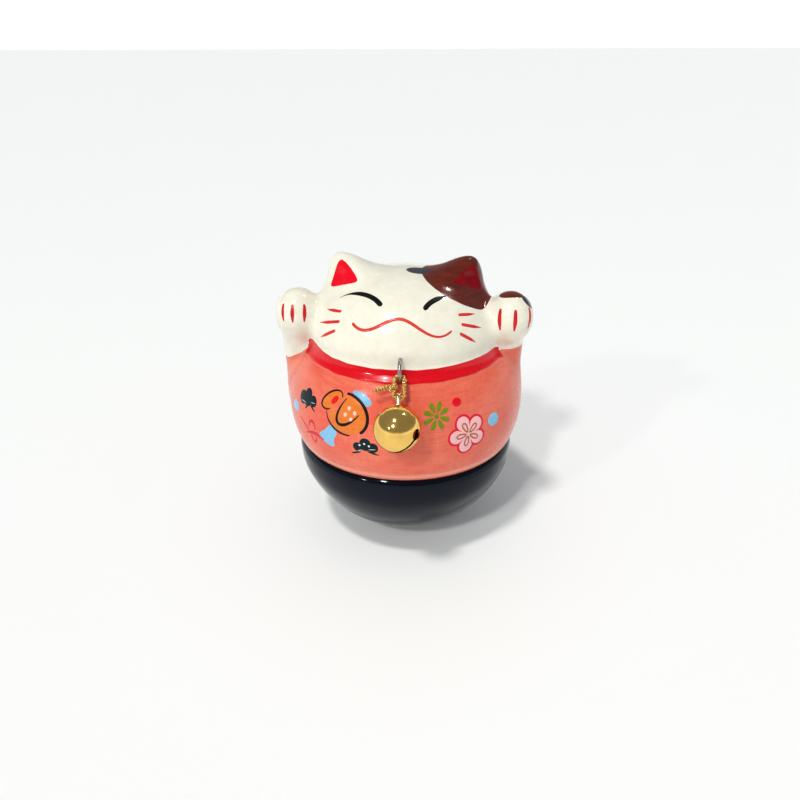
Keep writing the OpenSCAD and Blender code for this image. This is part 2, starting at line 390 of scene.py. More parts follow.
def rounded(corners):
    # a triangle with soft corners: each side keeps its middle three fifths
    a, b = np.array(corners, float), np.roll(np.array(corners, float), -1, 0)
    return np.stack([a + 0.2 * (b - a), a + 0.8 * (b - a)], 1).reshape(-1, 3)


# shading
def place(tree, kind, values=None, **settings):
    node = tree.nodes.new("ShaderNode" + kind)
    for key, value in settings.items():
        setattr(node, key, value)
    for key, value in (values or {}).items():
        if isinstance(value, bpy.types.NodeSocket):
            tree.links.new(value, node.inputs[key])
        else:
            node.inputs[key].default_value = value
    return node


def blendColour(tree, share, a, b, how="MIX"):
    node = place(tree, "Mix", data_type="RGBA", blend_type=how)
    for index, value in ((0, share), (6, a), (7, b)):
        if isinstance(value, bpy.types.NodeSocket):
            tree.links.new(value, node.inputs[index])
        else:
            node.inputs[index].default_value = value if index == 0 else (*value, 1)
    return node.outputs[2]


def sums(tree, how, a, b):
    node = place(tree, "Math", operation=how)
    for index, value in enumerate((a, b)):
        if isinstance(value, bpy.types.NodeSocket):
            tree.links.new(value, node.inputs[index])
        else:
            node.inputs[index].default_value = value
    return node.outputs[0]


def ramp(tree, value, low, high, to=(0, 1)):
    node = place(tree, "MapRange", {"From Min": low, "From Max": high, "To Min": to[0], "To Max": to[1]})
    tree.links.new(value, node.inputs["Value"])
    return node.outputs["Result"]


def newGroup(name, inputs, outputs):
    group = bpy.data.node_groups.new(name, "ShaderNodeTree")
    for socket, kind, value in inputs:
        made = group.interface.new_socket(name=socket, in_out="INPUT", socket_type="NodeSocket" + kind)
        if value is not None:
            made.default_value = value
    for socket, kind in outputs:
        group.interface.new_socket(name=socket, in_out="OUTPUT", socket_type="NodeSocket" + kind)
    return group, group.nodes.new("NodeGroupInput"), group.nodes.new("NodeGroupOutput")


def useGroup(tree, group, values):
    node = tree.nodes.new("ShaderNodeGroup")
    node.node_tree = group
    for key, value in values.items():
        if isinstance(value, bpy.types.NodeSocket):
            tree.links.new(value, node.inputs[key])
        else:
            node.inputs[key].default_value = value
    return node


def brushGroup():
    # thin and thick paint: long level streaks crossed by fainter upright ones, 0 thin to 1 thick
    group, start, end = newGroup("brushMarks", [("Vector", "Vector", None), ("Fineness", "Float", 1.0)],
                                 [("Thickness", "Float")])
    level = place(group, "Mapping", {"Scale": (260, 260, 1700)})
    upright = place(group, "Mapping", {"Scale": (1500, 1500, 160)})
    for mapping in (level, upright):
        group.links.new(start.outputs["Vector"], mapping.inputs["Vector"])
    one = place(group, "TexNoise", {"Vector": level.outputs[0], "Scale": start.outputs["Fineness"],
                                    "Detail": 3.0, "Roughness": 0.6})
    two = place(group, "TexNoise", {"Vector": upright.outputs[0], "Scale": start.outputs["Fineness"],
                                    "Detail": 3.0, "Roughness": 0.6})
    cloud = place(group, "TexNoise", {"Vector": start.outputs["Vector"], "Scale": 90.0, "Detail": 2.0})
    total = sums(group, "ADD", sums(group, "MULTIPLY", one.outputs["Fac"], 0.45),
                 sums(group, "MULTIPLY", two.outputs["Fac"], 0.25))
    total = sums(group, "ADD", total, sums(group, "MULTIPLY", cloud.outputs["Fac"], 0.3))
    group.links.new(ramp(group, total, 0.36, 0.64), end.inputs["Thickness"])
    return group


def glazeGroup():
    # the melted skin of a glaze: slow waviness and fine orange peel as a height, and a few pinholes
    group, start, end = newGroup("glazeSkin", [("Vector", "Vector", None)],
                                 [("Height", "Float"), ("Pinholes", "Float"), ("Mottle", "Float")])
    slow = place(group, "TexNoise", {"Vector": start.outputs["Vector"], "Scale": 130.0, "Detail": 1.0})
    peel = place(group, "TexNoise", {"Vector": start.outputs["Vector"], "Scale": 1300.0, "Detail": 2.0})
    holes = place(group, "TexVoronoi", {"Vector": start.outputs["Vector"], "Scale": 330.0})
    hole = ramp(group, holes.outputs["Distance"], 0.05, 0.09, (1, 0))
    seldom = place(group, "TexNoise", {"Vector": start.outputs["Vector"], "Scale": 210.0})
    hole = sums(group, "MULTIPLY", hole, ramp(group, seldom.outputs["Fac"], 0.62, 0.64))
    height = sums(group, "ADD", slow.outputs["Fac"], sums(group, "MULTIPLY", peel.outputs["Fac"], 0.05))
    height = sums(group, "SUBTRACT", height, sums(group, "MULTIPLY", hole, 0.3))
    mottle = place(group, "TexNoise", {"Vector": start.outputs["Vector"], "Scale": 420.0, "Detail": 4.0,
                                       "Roughness": 0.65})
    group.links.new(height, end.inputs["Height"])
    group.links.new(hole, end.inputs["Pinholes"])
    group.links.new(mottle.outputs["Fac"], end.inputs["Mottle"])
    return group


def scratchGroup():
    # hairline scratches two ways and tiny dents, for polished metal
    group, start, end = newGroup("hairlines", [("Vector", "Vector", None), ("Scale", "Float", 1.0)],
                                 [("Lines", "Float"), ("Dents", "Float")])
    scaled = place(group, "VectorMath", operation="SCALE")
    group.links.new(start.outputs["Vector"], scaled.inputs[0])
    group.links.new(start.outputs["Scale"], scaled.inputs["Scale"])
    a = place(group, "Mapping", {"Vector": scaled.outputs[0], "Rotation": (0.4, 0.2, 0.5),
                                 "Scale": (400, 9000, 400)})
    b = place(group, "Mapping", {"Vector": scaled.outputs[0], "Rotation": (0.1, 0.9, -0.7),
                                 "Scale": (7000, 350, 350)})
    one = place(group, "TexNoise", {"Vector": a.outputs[0], "Scale": 1.0, "Detail": 2.0})
    two = place(group, "TexNoise", {"Vector": b.outputs[0], "Scale": 1.0, "Detail": 2.0})
    lines = sums(group, "MAXIMUM", ramp(group, one.outputs["Fac"], 0.58, 0.75),
                 ramp(group, two.outputs["Fac"], 0.6, 0.75))
    dents = place(group, "TexNoise", {"Vector": scaled.outputs[0], "Scale": 700.0, "Detail": 2.0})
    group.links.new(lines, end.inputs["Lines"])
    group.links.new(dents.outputs["Fac"], end.inputs["Dents"])
    return group


brushMarks, glazeSkin, hairlines = brushGroup(), glazeGroup(), scratchGroup()


def newFinish(name, **sockets):
    # an empty material with its shader, its Object coordinates, and constant sockets set on the shader
    material = bpy.data.materials.new(name)
    material.use_nodes = True
    tree = material.node_tree
    shader = tree.nodes["Principled BSDF"]
    for key, value in sockets.items():
        shader.inputs[key].default_value = value
    where = place(tree, "TexCoord").outputs["Object"]
    return material, tree, shader, where


def bumpInto(tree, shader, height, strength, distance):
    bump = place(tree, "Bump", {"Strength": strength, "Distance": distance, "Height": height})
    tree.links.new(bump.outputs["Normal"], shader.inputs["Normal"])


catColours = {
    "white": (0.86, 0.84, 0.73),
    "whiteThin": (0.79, 0.76, 0.62),
    "pink": (0.76, 0.125, 0.075),
    "pinkThin": (0.80, 0.215, 0.135),
    "pinkDeep": (0.70, 0.065, 0.040),
    "red": (0.70, 0.001, 0.012),
    "redDeep": (0.52, 0.001, 0.010),
    "brown": (0.085, 0.014, 0.008),
    "brownWarm": (0.185, 0.026, 0.011),
    "grey": (0.022, 0.026, 0.032),
    "clay": (0.72, 0.70, 0.64),
}


def catGlaze():
    # paint lies where each edge attribute is negative, with a hand's slight waver
    material, tree, shader, where = newFinish("catGlaze", **{"Coat Weight": 0.15, "Coat Roughness": 0.03,
        "Specular IOR Level": 0.42})
    glaze = useGroup(tree, glazeSkin, {"Vector": where})
    brush = useGroup(tree, brushMarks, {"Vector": where, "Fineness": 1.0})
    waver = place(tree, "TexNoise", {"Vector": where, "Scale": 230.0, "Detail": 1.0}).outputs["Fac"]
    waver = ramp(tree, waver, 0.3, 0.7, (-0.09, 0.09))

    def zone(name, soft):
        edge = place(tree, "Attribute", attribute_name=name).outputs["Fac"]
        edge = sums(tree, "ADD", edge, waver)
        return ramp(tree, edge, soft, -soft), edge

    c = catColours
    colour = blendColour(tree, ramp(tree, glaze.outputs["Mottle"], 0.35, 0.75), c["white"], c["whiteThin"])
    pink, pinkEdge = zone("pinkEdge", 0.06)
    salmon = blendColour(tree, brush.outputs["Thickness"], c["pinkThin"], c["pink"])
    deep = place(tree, "TexNoise", {"Vector": where, "Scale": 75.0, "Detail": 3.0}).outputs["Fac"]
    salmon = blendColour(tree, ramp(tree, deep, 0.52, 0.78, (0, 0.7)), salmon, c["pinkDeep"])
    # lighter salmon: a pale band of thin glaze round the lower edge, and a painted highlight along the
    # creases where the arms meet the body
    paleGlazeAndHighlight = place(tree, "Attribute", attribute_name="thinGlazeAndHighlight").outputs["Fac"]
    salmon = blendColour(tree, paleGlazeAndHighlight, salmon, (0.84, 0.42, 0.30))
    colour = blendColour(tree, pink, colour, salmon)
    brown, brownEdge = zone("brownEdge", 0.05)
    chestnut = blendColour(tree, brush.outputs["Thickness"], c["brownWarm"], c["brown"])
    colour = blendColour(tree, brown, colour, chestnut)
    grey, greyEdge = zone("greyEdge", 0.07)
    colour = blendColour(tree, grey, colour, blendColour(tree, glaze.outputs["Mottle"], c["grey"],
                                                         (0.055, 0.062, 0.070)))
    red, redEdge = zone("collarEdge", 0.06)
    crimson = blendColour(tree, ramp(tree, brush.outputs["Thickness"], 0.1, 0.9), c["red"], c["redDeep"])
    crimson = blendColour(tree, 0.35, c["red"], crimson)
    colour = blendColour(tree, red, colour, crimson)
    raw = place(tree, "Attribute", attribute_name="raw").outputs["Fac"]
    colour = blendColour(tree, raw, colour, c["clay"])
    tree.links.new(colour, shader.inputs["Base Color"])
    rough = ramp(tree, glaze.outputs["Mottle"], 0.3, 0.7, (0.10, 0.20))
    rough = sums(tree, "ADD", rough, sums(tree, "MULTIPLY", pink, 0.10))
    rough = sums(tree, "ADD", rough, sums(tree, "MULTIPLY", raw, 0.6))
    tree.links.new(rough, shader.inputs["Roughness"])
    height = sums(tree, "ADD", glaze.outputs["Height"],
                  sums(tree, "MULTIPLY", sums(tree, "MULTIPLY", brush.outputs["Thickness"], pink), 0.10))
    height = sums(tree, "ADD", height, sums(tree, "MULTIPLY", sums(tree, "ADD", brown, red), 0.08))
    bumpInto(tree, shader, height, 0.35, 0.0003)
    return material


def bowlGlaze():
    material, tree, shader, where = newFinish("bowlGlaze",
                                              **{"Specular IOR Level": 0.30,
                                                 "Specular Tint": (0.80, 0.90, 1.0, 1.0)})
    glaze = useGroup(tree, glazeSkin, {"Vector": where})
    colour = blendColour(tree, ramp(tree, glaze.outputs["Mottle"], 0.3, 0.7), (0.0022, 0.0028, 0.0075),
                         (0.0050, 0.0062, 0.0135))
    colour = blendColour(tree, glaze.outputs["Pinholes"], colour, (0.03, 0.035, 0.05))
    tree.links.new(colour, shader.inputs["Base Color"])
    tree.links.new(ramp(tree, glaze.outputs["Mottle"], 0.3, 0.7, (0.05, 0.11)), shader.inputs["Roughness"])
    bumpInto(tree, shader, glaze.outputs["Height"], 0.2, 0.0003)
    return material


def enamel(name, thin, thick, gloss=0.22, fineness=1.6, coat=0.15):
    # brushed overglaze enamel: thin and thick marks, a little relief, a soft gloss
    material, tree, shader, where = newFinish(name, **{"Coat Weight": coat, "Coat Roughness": 0.08,
                                                       "Specular IOR Level": 0.25})
    brush = useGroup(tree, brushMarks, {"Vector": where, "Fineness": fineness})
    glaze = useGroup(tree, glazeSkin, {"Vector": where})
    tree.links.new(blendColour(tree, brush.outputs["Thickness"], thin, thick), shader.inputs["Base Color"])
    tree.links.new(ramp(tree, glaze.outputs["Mottle"], 0.3, 0.7, (gloss - 0.06, gloss + 0.08)),
                   shader.inputs["Roughness"])
    bumpInto(tree, shader, brush.outputs["Thickness"], 0.2, 0.00006)
    return material


def metal(name, light, dark, gloss, scale=1.0, tarnish=0.5):
    material, tree, shader, where = newFinish(name, Metallic=1.0)
    marks = useGroup(tree, hairlines, {"Vector": where, "Scale": scale})
    film = place(tree, "TexNoise", {"Vector": where, "Scale": 260.0 * scale, "Detail": 5.0,
                                    "Roughness": 0.7}).outputs["Fac"]
    tree.links.new(blendColour(tree, ramp(tree, film, 0.4, 0.75, (0, tarnish)), light, dark),
                   shader.inputs["Base Color"])
    rough = ramp(tree, film, 0.3, 0.7, (gloss * 0.8, gloss * 1.5))
    rough = sums(tree, "ADD", rough, sums(tree, "MULTIPLY", marks.outputs["Lines"], 0.10))
    tree.links.new(rough, shader.inputs["Roughness"])
    height = sums(tree, "SUBTRACT", marks.outputs["Dents"], sums(tree, "MULTIPLY", marks.outputs["Lines"],
        0.04))
    bumpInto(tree, shader, height, 0.25, 0.0001)
    return material


def goldThread():
    # foil-wrapped thread: fine turns of foil round the strand, from the strand's own map
    material, tree, shader, where = newFinish("goldThread", Metallic=0.8)
    wrap = place(tree, "UVMap", uv_map="strand").outputs["UV"]
    mapping = place(tree, "Mapping", {"Vector": wrap, "Scale": (1, 1, 1), "Rotation": (0, 0, 0.5)})
    turns = place(tree, "TexWave", {"Vector": mapping.outputs[0], "Scale": 3.0, "Distortion": 0.6})
    glint = place(tree, "TexNoise", {"Vector": where, "Scale": 2600.0, "Detail": 2.0}).outputs["Fac"]
    colour = blendColour(tree, turns.outputs["Fac"], (0.55, 0.27, 0.03), (1.0, 0.74, 0.24))
    colour = blendColour(tree, ramp(tree, glint, 0.45, 0.7), colour, (1.0, 0.86, 0.48))
    tree.links.new(colour, shader.inputs["Base Color"])
    tree.links.new(ramp(tree, glint, 0.3, 0.7, (0.18, 0.42)), shader.inputs["Roughness"])
    bumpInto(tree, shader, turns.outputs["Fac"], 0.6, 0.0001)
    return material


def gritty(name, light, dark, rough, grain, relief, metallic=0.0):
    # cement, plaster and cast iron: grains, pits and a slow change of colour
    material, tree, shader, where = newFinish(name, Metallic=metallic)
    grains = place(tree, "TexNoise", {"Vector": where, "Scale": grain, "Detail": 6.0,
                                      "Roughness": 0.7}).outputs["Fac"]
    pits = place(tree, "TexVoronoi", {"Vector": where, "Scale": grain * 0.6}).outputs["Distance"]
    slow = place(tree, "TexNoise", {"Vector": where, "Scale": 80.0}).outputs["Fac"]
    shade = sums(tree, "ADD", sums(tree, "MULTIPLY", grains, 0.6), sums(tree, "MULTIPLY", slow, 0.4))
    tree.links.new(blendColour(tree, ramp(tree, shade, 0.35, 0.65), light, dark),
                   shader.inputs["Base Color"])
    tree.links.new(ramp(tree, grains, 0.3, 0.7, (rough - 0.1, rough + 0.1)), shader.inputs["Roughness"])
    height = sums(tree, "ADD", grains, ramp(tree, pits, 0.0, 0.25, (-0.6, 0)))
    bumpInto(tree, shader, height, 0.7, relief)
    return material


print("finishes ready to be used")


# the casting
paintLines = {
    "collarMiddle": (52.0, 53.3),             # height at the front and at the back
    "collarHalf": 1.45,                       # half its width
    "collarFlare": (-66, 14, 0.8, 0.9),       # by the left arm: where, how far round, raised by, widened by
    "collarRise": 0.22,
    "brown": ((12.3, -4.9), (8.3, 9.1)),      # ovals seen from above: middle, half sizes
    "grey": ((3.4, -5.1), (2.8, 2.1)),
    "pawBrown": ((24.9, -8.6, 66.6), (3.2, 2.1, 1.5)),
    "pawGrey": ((28.9, -9.2, 65.0), (1.9, 1.5, 1.9)),
    "cuffs": (48.3, 52.9),                    # height of the left and the right sleeve's end
}


def ovalEdge(p, middle, half):
    # rough distance to an oval seen from above, negative within
    return (np.hypot((p[:, 0] - middle[0]) / half[0], (p[:, 1] - middle[1]) / half[1]) - 1) * min(half)


def paintEdges(p):
    # distances, in millimetres, to the edge of each paint: negative where the paint lies
    turn = np.degrees(np.arctan2(p[:, 0], -p[:, 1]))
    front, back = paintLines["collarMiddle"]
    where, spread, raised, widened = paintLines["collarFlare"]
    flare = np.exp(-((turn - where) / spread) ** 2)
    middle = (front + back) / 2 - (back - front) / 2 * np.cos(np.radians(turn)) + raised * flare
    collar = np.abs(p[:, 2] - middle) - paintLines["collarHalf"] - widened * flare
    # on the arms the sleeve ends lower outside and higher inside, and there is no collar
    left, right = casting["armRoot"][1], casting["armRoot"][0]
    onTrunk = melt(ellipsoid(p, *casting["body"]), ellipsoid(p, *casting["head"]), 2.0)
    q = np.concatenate([np.abs(p[:, :1]), p[:, 1:]], -1)
    arm = np.minimum(capsule(q, ((left + right) / 2, 0, 37.6), (24.8, -5, 57.6), *casting["armRadius"]),
                     ellipsoid(q, *casting["paw"]))
    armShare = np.clip((onTrunk - arm) / 1.2 + 0.5, 0, 1)
    leftCuff, rightCuff = paintLines["cuffs"]
    sleeve = np.where(p[:, 0] < 0, leftCuff + np.clip(p[:, 0] + 29, 0, 6) * 0.6, rightCuff)
    pink = (p[:, 2] - middle) * (1 - armShare) + (p[:, 2] - sleeve) * armShare
    collar = collar + 12 * np.clip(armShare - 0.5, 0, 1)
    brown = ovalEdge(p, *paintLines["brown"])
    brown = np.where((p[:, 2] > 60) & (p[:, 0] > 0), brown, 5.0)
    pawTop = ellipsoid(p, *paintLines["pawBrown"])
    grey = ovalEdge(p, *paintLines["grey"])
    grey = np.where(p[:, 2] > 66, grey, 5.0)
    pawSide = ellipsoid(p, *paintLines["pawGrey"])
    # a pale band of thin glaze round the lower edge at 28 mm, and a painted highlight along the arm creases
    # from 36 mm up
    thinGlazeAndHighlight = np.clip(1 - np.abs(p[:, 2] - 28.0) / 1.0, 0, 1) * 0.8
    thinGlazeAndHighlight = np.maximum(thinGlazeAndHighlight, np.clip(1 - np.abs(onTrunk - arm) / 1.4, 0, 1) * np.clip((p[:, 2] - 36) / 8,
        0, 1) * 0.35)
    return {"pinkEdge": pink, "collarEdge": collar, "brownEdge": np.minimum(brown, pawTop),
            "greyEdge": np.minimum(grey, pawSide), "thinGlazeAndHighlight": thinGlazeAndHighlight}


def castCat():
    step = casting["step"] * 1
    points, quads = netOver(shell, (-32.1, -31.1, 25.7), (32.2, 31.2, 75.1), step)
    points = relax(shell, settle(shell, points, 6), quads)
    edges = paintEdges(points)
    inner = (skin(points) < -0.8) & (points[:, 2] > 27.6)
    lift = np.clip((0.25 - edges["collarEdge"]) / 0.5, 0, 1)
    lift = lift * lift * (3 - 2 * lift) * ~inner
    points = points + (paintLines["collarRise"] * lift)[:, None] * normalsOf(shell, points)
    piece = addPiece("cat_shell", points, quads, catGlaze(), slot="white_glaze")
    for name, value in {**edges, "raw": inner.astype(float)}.items():
        if name.endswith("Edge"):
            value = np.where(inner, 9.0, value)
        attribute = piece.data.attributes.new(name, "FLOAT", "POINT")
        attribute.data.foreach_set("value", value.astype(np.float32))
    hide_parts("cat_casting")
    return piece


castCat()
print("cat cast")


# the bowl
bowl = {
    "ball": (29.1, 28.945),       # radius and height of the centre
    "drum": 28.0,                 # radius of the upright part
    "shoulder": (25.0, 24.1, 3.0),
    "lip": (24.7, 29.4, 23.1),    # outer radius, height, inner radius
    "hollow": 26.1,
    "flat": 3.0,
    "around": 256,
}


def turnBowl():
    # a profile of radius and height carried round the axis: ball, drum, shoulder, lip, then the hollow
    r, c = bowl["ball"]
    x, z, s = bowl["shoulder"]
    height = np.concatenate([c - r * np.cos(np.linspace(math.asin(bowl["flat"] / r), math.radians(76), 64)),
                             np.linspace(22.2, z, 9)])
    ball = np.sqrt(np.maximum(r * r - (height - c) ** 2, 0))
    outer = np.stack([melt(ball, np.full(len(ball), bowl["drum"]), 0.9), height], -1)
    outer[:, 0] *= np.where(height < 15, ball / np.maximum(outer[:, 0], 0.1), 1)
    t = np.linspace(0, math.pi / 2, 22)[1:]
    shoulder = np.stack([x + s * np.cos(t), z + s * np.sin(t)], -1)
    lipOut, lipTop, lipIn = bowl["lip"]
    lip = [(lipOut + 0.06, z + s), (lipOut, z + s + 0.15), (lipOut, lipTop - 0.3), (lipOut - 0.3, lipTop),
           (lipIn + 0.3, lipTop), (lipIn, lipTop - 0.3), (lipIn, z)]
    inner = math.sqrt(bowl["hollow"] ** 2 - (c - z) ** 2)
    t = np.linspace(math.acos((c - z) / bowl["hollow"]), 0.012, 40)
    hollow = np.stack([bowl["hollow"] * np.sin(t), c - bowl["hollow"] * np.cos(t)], -1)
    hollow[0] = inner, z
    foot = [(bowl["flat"] * k, 0) for k in (0.04, 0.35, 0.7, 0.93)]
    line = np.concatenate([foot, outer, shoulder, lip, hollow])
    turn = np.linspace(0, 2 * np.pi, bowl["around"], endpoint=False)
    points = np.stack([line[:, :1] * np.cos(turn), line[:, :1] * np.sin(turn), line[:, 1:] + 0 * turn],
                      -1).reshape(-1, 3)
    count, n = len(line), bowl["around"]
    faces = list(gridFaces(count, n)) + [np.arange(n)[::-1], (count - 1) * n + np.arange(n)]
    piece = addPiece("rocking_bowl", points, faces, bowlGlaze(), slot="black_glaze")
    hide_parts("base_bowl")
    return piece


turnBowl()
print("bowl turned")


# brushwork on the face and paws
faceLines = {
    # places are degrees round from the front and degrees up from the head's middle
    "leftEye": ((-36.5, 26), 23, 12.7, 0, 166, 29),
    "rightEye": ((42, 26.5), 23.5, 10.6, 0, 164, 81),
    # from, to, height, swing, half wave, fall to the right
    "mouth": (-34, 35, 18.4, 5.5, 26, 0.065),
    "whiskers": [((-62, 19), (-47, 22)), ((-62, 10), (-44, 16)), ((-58, 2), (-45, 10)),
                 ((44, 22), (58, 19)), ((43, 16), (58, 10)), ((40, 11), (51, 3))],
    "leftClaws": ((-29, -3, 26), 36, -5),               # turns, top, bottom
    "rightClaws": ((-29, 7, 50), 34, -16),
    "leftEar": [(-15, -4.5, 74), (-9.5, -10.5, 69), (-18, -6.5, 66)],       # corners
    "rightEar": [(17, -3.5, 72.5), (19, -5.5, 65.5), (10.5, -9.8, 69)],
}


def mouthLine():
    # one and a third waves, falling a little to the right
    start, stop, height, swing, wave, fall = faceLines["mouth"]
    x = np.linspace(start, stop, 24)
    return np.stack([x, height + swing * np.cos(np.pi * x / wave) - fall * x], -1)


def clawLines(turns, top, low):
    # upright strokes that draw together downwards
    return [[(turn * 1.12, top), (turn, (top + low) / 2), (turn * 0.88, low)] for turn in turns]


red = (0.62, 0.030, 0.030)
strokes = [stroke(onFace, arc(*faceLines["leftEye"], unit=1), 1.35, (0.15, 0.95)),
           stroke(onFace, arc(*faceLines["rightEye"], unit=1), 1.35, (0.9, 0.2))]
addPiece("eye_lines", *together(strokes), enamel("browBlackEnamel", (0.010, 0.010, 0.010),
                                                 (0.003, 0.003, 0.0032), 0.3, 1.6, 0.0), slot="white_glaze")
addPiece("mouth_line", *stroke(onFace, mouthLine(), 0.80, (0.9, 0.6)),
         enamel("mouthEnamel", (0.74, 0.09, 0.065), red), slot="white_glaze")
strokes = [stroke(onFace, line, 0.80,
                  (0.25, 0.95) if line[0][0] < 0 else (0.95, 0.25)) for line in faceLines["whiskers"]]
addPiece("whiskers", *together(strokes), enamel("whiskerEnamel", (0.70, 0.055, 0.050), red),
         slot="white_glaze")
strokes = [stroke(onLeftPaw, line, 0.92, (0.7, 0.45)) for line in clawLines(*faceLines["leftClaws"])]
strokes += [stroke(onRightPaw, line, 0.98, (0.75, 0.45)) for line in clawLines(*faceLines["rightClaws"])]
addPiece("claw_lines", *together(strokes), enamel("clawEnamel", (0.66, 0.030, 0.032), (0.52, 0.008, 0.014)),
         slot="white_glaze")
addPiece("left_ear_paint", *patch(onSpot, rounded(faceLines["leftEar"]), 0.06, 9, 90),
         enamel("earRedEnamel", (0.84, 0.004, 0.028), (0.74, 0.002, 0.016), 0.16), slot="white_glaze")
addPiece("right_ear_paint", *patch(onSpot, rounded(faceLines["rightEar"]), 0.05, 9, 90),
         enamel("earWineEnamel", (0.30, 0.003, 0.006), (0.17, 0.003, 0.008), 0.12), slot="white_glaze")
print("face painted")


# motifs on the belly
motifs = {
    # places are (degrees round from the front, height); sizes and discs are millimetres
    "drum": ((-24.4, 43.0), 5.6, 4.6, -10),             # middle, half sizes, lean
    "drumHead": ((-33.2, 45.4), 3.3, 1.75, 34),
    "hook": ((-21.4, 45.2), 2.4, 5.6, -38),
    "redOval": ((-31.4, 45.6), 1.35, 0.75, 45),
    "redDot": ((27.8, 46.2), 1.25, 0.98),
    "leftDab": ((-60.8, 39.1), 1.9, 1.5),
    "rightDab": ((47.2, 39.7), 1.85, 1.65, -8),
    "upperRibbon": [(-23.5, 48.5), (-17, 48.5), (-11.5, 46.5), (-14.5, 45.5), (-20, 47)],
    "lowerRibbon": [(-32, 40), (-28, 38.5), (-30, 36), (-30, 34), (-35, 34), (-40, 36), (-36, 38)],
    "paleRing": ((-22.3, 43.5), 4, 1.25, -17),          # middle, count, reach, lean
    "leaf": ((-49.5, 43.2), [(-2.2, -0.4, 1.7), (0, 1.0, 1.5), (2.4, 0, 1.4), (0, -0.3, 1.7)]),
    "fan": ((-14.5, 36.6), [(-1.9, -0.6, 1.2), (0, 0.6, 1.4), (1.9, -0.3, 1.3), (0, -0.1, 1.3)]),
    "stems": [((-49, 41.5), (-50.5, 40.5)), ((-46.5, 42), (-42.5, 41)), ((-21, 34), (-16.5, 34.8)),
              ((-13.5, 35.2), (-8, 34.5))],
    "veins": [((-55, 42), (-49.5, 42)), ((-46.5, 42.8), (-43, 43)), ((-18, 35), (-16, 35.5)),
              ((-13, 35.8), (-9.5, 36))],
    "fanDots": [(-17, 36.6), (-14.8, 37.1), (-12.6, 36.7)],
    "star": ((17.4, 43.9), 8, -24),                     # middle, petals, lean
    "blossom": ((32.1, 38.5), 5, -24),
    "blossomDisc": (3.15, 1.75),                        # reach and radius of a petal
}
star, blossom = motifs["star"], motifs["blossom"]
blossomDiscs = [(x, y, motifs["blossomDisc"][1]) for x, y in ringOf(blossom[1], motifs["blossomDisc"][0],
    blossom[2])]
coral = [([(-55, 37.5), (-46, 35)], 0.6), (arc((-44.6, 36.8), 1.2, 1.6, 0, 190, -15), 0.75),
         ([(-50, 34.3), (-43, 35.5), (-36.5, 35)], 1.0), (arc((-43.8, 34.2), 0.9, 1.3, 0, 130, 390), 0.7)]
inkBlack = enamel("lampBlackEnamel", (0.011, 0.012, 0.012), (0.0035, 0.0038, 0.004), 0.3, 1.6, 0.0)
leafInk = enamel("pineInkEnamel", (0.006, 0.026, 0.032), (0.003, 0.010, 0.014), 0.2, 1.6, 0.0)
addPiece("orange_drum", *together([patch(onBelly, bitten(oval(*motifs["drum"], count=90), (-22, 42),
                                                         motifs["drumHead"], 0.35), 0.05, middle=(-22, 42)),
                                   patch(onBelly, oval(*motifs["drumHead"]), 0.06)]),
         enamel("orangeEnamel", (0.80, 0.25, 0.045), (0.70, 0.18, 0.028)), slot="white_glaze")
inkStrokes = [stroke(onBelly, arc(*motifs["drumHead"], -25, 250), 0.50, (0.6, 0.6), lift=0.14),
              stroke(onBelly, arc(*motifs["drum"], 104, -38), 0.78, (0.75, 0.9), lift=0.14),
              stroke(onBelly, arc(*motifs["drum"], 186, 292), 0.52, (0.3, 0.7), lift=0.13),
              stroke(onBelly, arc(*motifs["hook"], 180, 360), 0.80, (0.3, 0.35), lift=0.14)]
addPiece("drum_ink", *together(inkStrokes), inkBlack, slot="white_glaze")
addPiece("red_dots", *together([patch(onBelly, oval(*motifs["redOval"]), 0.12),
                                patch(onBelly, oval(*motifs["redDot"]), 0.10)]),
         enamel("signalRedEnamel", (0.80, 0.012, 0.030), (0.70, 0.004, 0.020)), slot="white_glaze")
blue = [patch(onBelly, oval(*motifs[name]), 0.08) for name in ("leftDab", "rightDab")]
blue += [patch(onBelly, motifs["upperRibbon"], 0.03), patch(onBelly, motifs["lowerRibbon"], 0.035)]
addPiece("sky_patches", *together(blue), enamel("skyEnamel", (0.28, 0.56, 0.78), (0.23, 0.50, 0.74)),
         slot="white_glaze")
spot, count, reach, lean = motifs["paleRing"]
pale = [patch(onBelly, oval((spot[0] + x / degree, spot[1] + y), 0.55, 0.55, 0, 16), 0.11, 3, 20) for x,
        y in ringOf(count, reach, lean)]
addPiece("pale_dots", *together(pale), enamel("shellPinkEnamel", (0.90, 0.66, 0.58), (0.86, 0.56, 0.48)),
         slot="white_glaze")
leaves = [patch(onBelly, lobes(*motifs["leaf"]), 0.12, 7, 120, motifs["leaf"][0]),
          patch(onBelly, lobes(*motifs["fan"]), 0.10, 7, 120, motifs["fan"][0])]
leaves += [stroke(onBelly, line, 0.5, (0.8, 0.3)) for line in motifs["stems"]]
addPiece("pine_leaves", *together(leaves), leafInk, slot="white_glaze")
veins = [stroke(onBelly, line, 0.24, lift=0.16) for line in motifs["veins"]]
veins += [patch(onBelly, oval(m, 0.36, 0.34, 0, 14), 0.15, 3, 18) for m in motifs["fanDots"]]
addPiece("leaf_veins", *together(veins), enamel("frostEnamel", (0.72, 0.80, 0.80), (0.58, 0.68, 0.70)),
         slot="white_glaze")
addPiece("coral_brush", *together([stroke(onBelly, line, width, (0.5, 0.5), lift=0.07) for line,
                                   width in coral]),
         enamel("coralEnamel", (0.72, 0.018, 0.060), (0.60, 0.008, 0.040)), slot="white_glaze")
rays = [patch(onBelly, petal(star[0], 2.0, 2.7, 1.6, n * 360 / star[1] + star[2]), 0.09, 4,
              24) for n in range(star[1])]
rays.append(patch(onBelly, oval(star[0], 0.62, 0.62, 0, 14), 0.1, 3, 18))
addPiece("green_star", *together(rays), enamel("oliveEnamel", (0.24, 0.30, 0.010), (0.17, 0.24, 0.006)),
         slot="white_glaze")


